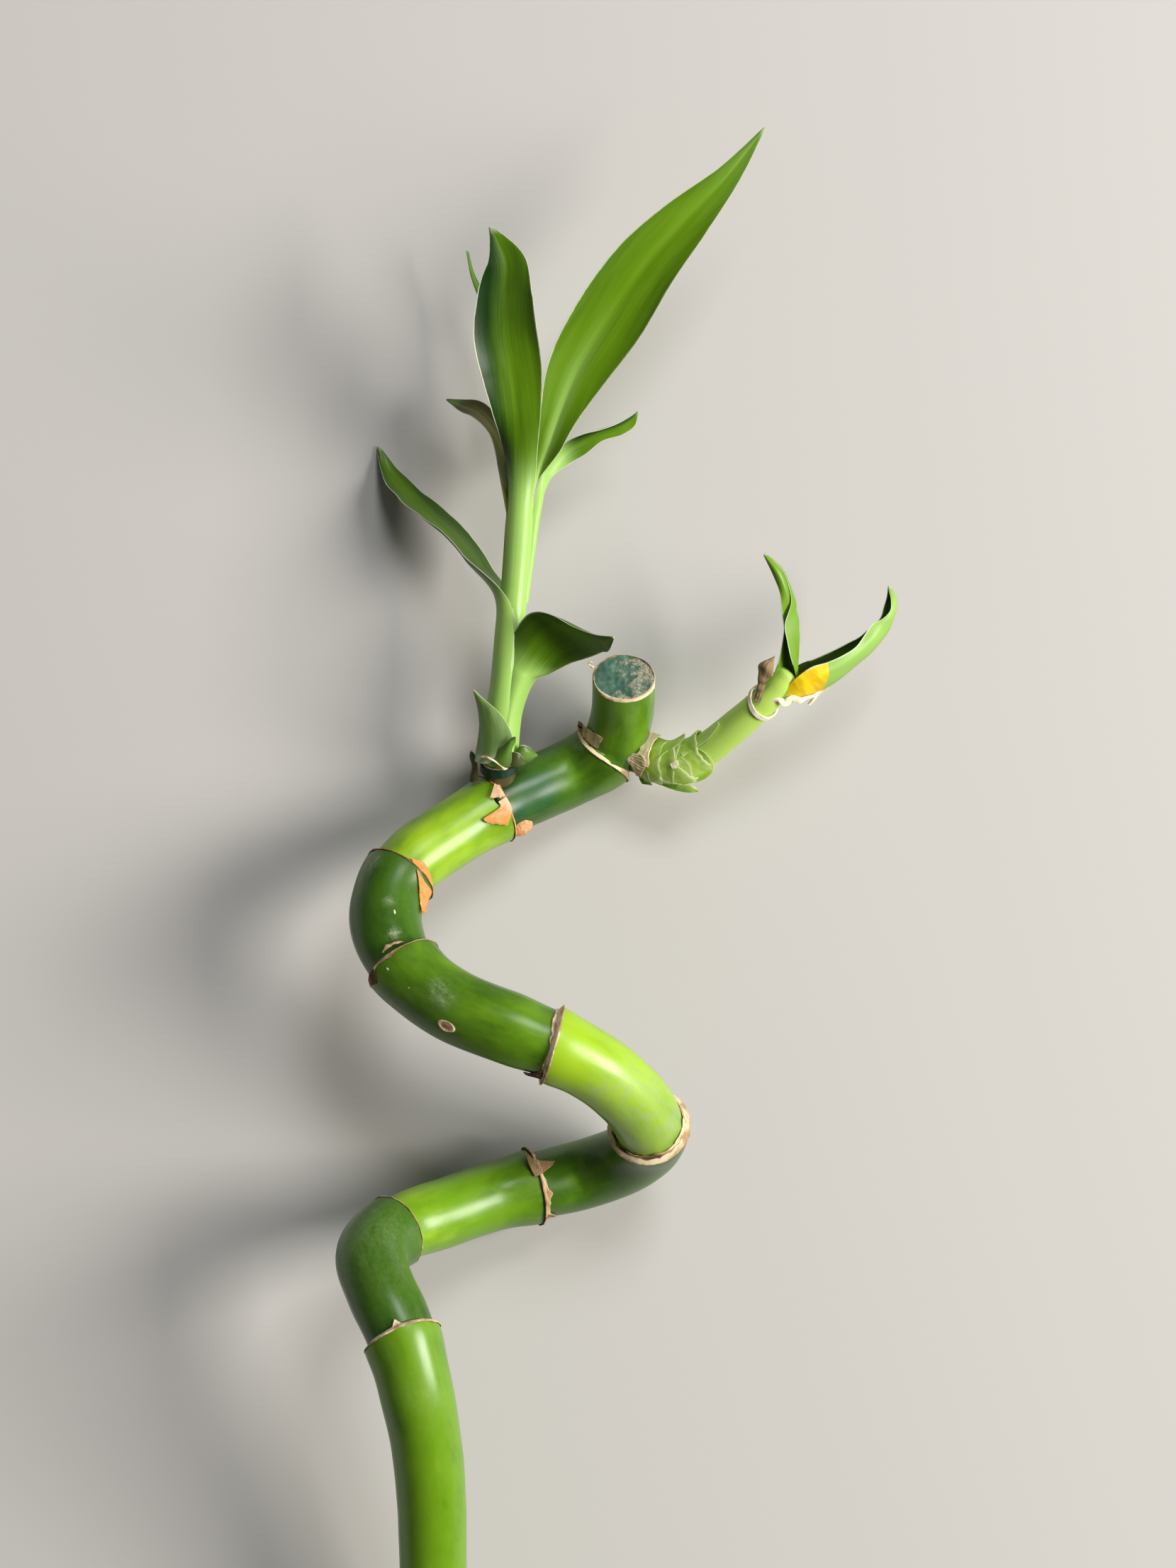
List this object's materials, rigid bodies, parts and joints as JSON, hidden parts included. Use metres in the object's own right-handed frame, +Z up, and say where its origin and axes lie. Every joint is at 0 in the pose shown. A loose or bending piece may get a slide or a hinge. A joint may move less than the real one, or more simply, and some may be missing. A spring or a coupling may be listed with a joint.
{
  "type": "lucky bamboo stalk",
  "caption": "Green jointed stalk curled into loops, cut at both ends, with dry rims at its joints and leafy shoots, lying on a surface.",
  "frame": {"origin": "middle of the part's footprint, on the surface that it lies on", "axes": "+Y along the stalk from its cut foot to the leaf tips, +Z up from the surface, +X towards the side shoot"},
  "size_m": [0.102, 0.3287, 0.0466],
  "materials": {
    "cane": "gloss",
    "wax": "satin",
    "rim": "matte",
    "sheath": "matte",
    "bud": "matte",
    "shoot": "satin",
    "leaf": "satin",
    "dry_leaf": "matte"
  },
  "bodies": {
    "root": {"bud": "bud", "cane": "cane", "cut_seal": "wax", "dry_scrap": "rim", "leaf_back": "leaf", "leaf_front": "leaf", "leaf_left_high": "leaf", "leaf_left_low": "leaf", "leaf_right_low": "leaf", "leaf_right_small": "leaf", "leaf_right_tall": "leaf", "main_bract_1": "sheath", "main_bract_2": "sheath", "main_bract_3": "sheath", "main_bract_4": "sheath", "main_collar": "sheath", "main_stem": "shoot", "rim_1": "rim", "rim_2": "rim", "rim_3": "rim", "rim_4": "rim", "rim_5": "rim", "rim_6": "rim", "rim_7": "rim", "rim_8": "rim", "rim_9": "rim", "side_collar": "sheath", "side_husk": "rim", "side_leaf_curled": "leaf", "side_leaf_dry": "dry_leaf", "side_leaf_upright": "leaf", "side_ring": "rim", "side_scale_1": "shoot", "side_scale_2": "shoot", "side_scale_3": "shoot", "side_stem": "shoot"}
  },
  "joints": []
}
